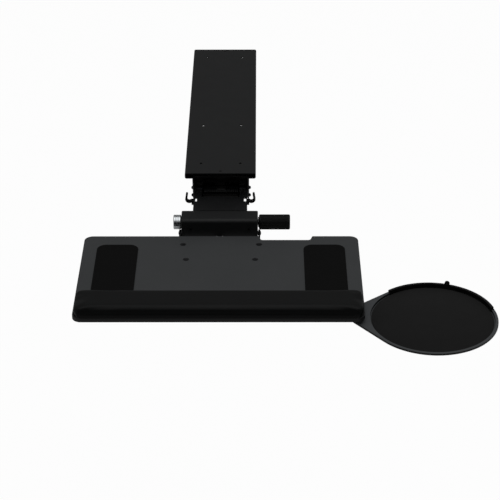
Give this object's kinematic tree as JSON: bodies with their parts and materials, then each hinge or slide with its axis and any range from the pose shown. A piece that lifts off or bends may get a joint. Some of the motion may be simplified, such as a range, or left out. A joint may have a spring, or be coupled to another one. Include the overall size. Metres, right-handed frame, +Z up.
{
  "type": "keyboard tray",
  "caption": "Under-desk keyboard tray: a flat board with palm rest and round mouse tray on an arm that slides, swivels, lifts and tilts.",
  "frame": {"origin": "middle of the track's top face, which lies against the desk's underside", "axes": "+X to the user's right, +Y away from the user along the track, +Z up into the desk"},
  "size_m": [0.7036, 1.036, 0.0918],
  "materials": {
    "black_powder_coat": "fine satin powder coat",
    "zinc_plated_steel": "bright zinc plate",
    "black_oxide_steel": "black oxide",
    "spring_steel": "oiled wire",
    "natural_nylon": "moulded nylon",
    "black_nylon": "fine moulded grain",
    "turned_aluminium": "turned and clear anodised",
    "grey_phenolic": "matt dark grey laminate",
    "grip_rubber": "matt sheet rubber",
    "palm_vinyl": "smooth black leatherette over foam",
    "mouse_cloth": "fine knitted cloth on foam rubber"
  },
  "bodies": {
    "track": {"track_rail": "black_powder_coat", "track_front_stop": "black_nylon", "track_rear_stop": "black_nylon"},
    "carriage": {"carriage_plate": "zinc_plated_steel", "carriage_glides": "natural_nylon", "swivel_hub": "zinc_plated_steel", "thrust_washer": "natural_nylon", "swivel_pin": "zinc_plated_steel", "swivel_nut": "zinc_plated_steel"},
    "swivel": {"swivel_bracket": "black_powder_coat", "rear_upper_shaft": "black_oxide_steel", "rear_lower_shaft": "black_oxide_steel", "rear_spacer_tube": "black_nylon", "link_spacers": "black_nylon", "spring_sleeve": "black_nylon"},
    "arm": {"lift_arm": "black_powder_coat", "arm_bushes": "black_nylon", "cable_hook_left": "black_nylon", "cable_hook_right": "black_nylon", "spring_left": "spring_steel", "spring_right": "spring_steel"},
    "level_links": {"level_link_left": "black_powder_coat", "level_link_right": "black_powder_coat"},
    "head": {"head_housing": "black_powder_coat", "head_yoke": "black_powder_coat", "end_cap_left": "black_nylon", "end_cap_right": "black_nylon", "housing_screws": "black_oxide_steel", "front_upper_shaft": "black_oxide_steel", "front_lower_shaft": "zinc_plated_steel", "front_spacer_tube": "black_nylon", "link_washers": "black_nylon"},
    "tilt_drive": {"tilt_screw": "zinc_plated_steel", "tilt_knob": "black_nylon", "end_knob": "turned_aluminium"},
    "tilt_carrier": {"tilt_nut": "zinc_plated_steel"},
    "platform": {"platform_bracket": "black_powder_coat", "tilt_pins": "black_oxide_steel", "tilt_lever": "black_oxide_steel", "keyboard_board": "grey_phenolic", "board_screws": "black_oxide_steel", "grip_pad_left": "grip_rubber", "grip_pad_right": "grip_rubber", "palm_base": "black_nylon", "palm_rest": "palm_vinyl", "pivot_plate": "zinc_plated_steel", "pivot_screws": "zinc_plated_steel", "pivot_stud": "zinc_plated_steel", "pivot_spacer": "natural_nylon", "pivot_nut": "zinc_plated_steel"},
    "mouse": {"mouse_tray": "grey_phenolic", "mouse_bush": "natural_nylon", "mouse_pad": "mouse_cloth", "mouse_guard": "black_nylon", "cord_clip": "black_nylon"}
  },
  "joints": [
    {"name": "track_slide", "type": "slide", "parent": "track", "child": "carriage", "axis": [0, 1, 0], "range_m": [0, 0.4]},
    {"name": "swivel_turn", "type": "hinge", "parent": "carriage", "child": "swivel", "pos_m": [0, -0.2019, -0.0139], "axis": [0, 0, 1], "continuous": true},
    {"name": "lift", "type": "hinge", "parent": "swivel", "child": "arm", "pos_m": [0, -0.2269, -0.0566], "axis": [1, 0, 0], "range_deg": [-19, 42]},
    {"name": "head_level", "type": "hinge", "parent": "arm", "child": "head", "pos_m": [0, -0.3289, -0.0566], "axis": [1, 0, 0], "range_deg": [-43, 20]},
    {"name": "link_swing", "type": "hinge", "parent": "swivel", "child": "level_links", "pos_m": [0, -0.2269, -0.0723], "axis": [1, 0, 0], "range_deg": [-20, 43]},
    {"name": "tilt", "type": "hinge", "parent": "head", "child": "platform", "pos_m": [0, -0.3689, -0.0738], "axis": [1, 0, 0], "range_deg": [-15, 15]},
    {"name": "knob_turn", "type": "hinge", "parent": "head", "child": "tilt_drive", "pos_m": [0, -0.3649, -0.0534], "axis": [1, 0, 0], "range_deg": [-541, 541]},
    {"name": "nut_travel", "type": "slide", "parent": "head", "child": "tilt_carrier", "axis": [1, 0, 0], "range_m": [-0.0151, 0.0151]},
    {"name": "mouse_swivel", "type": "hinge", "parent": "platform", "child": "mouse", "pos_m": [0.1935, -0.6309, -0.0783], "axis": [0, 0, 1], "range_deg": [-90, 20]}
  ],
  "couplings": [
    {"joint": "head_level", "follows": "lift", "ratio": -1},
    {"joint": "link_swing", "follows": "lift", "ratio": 1},
    {"joint": "knob_turn", "follows": "tilt", "ratio": 36},
    {"joint": "nut_travel", "follows": "tilt", "m_per_rad": 0.057296}
  ]
}
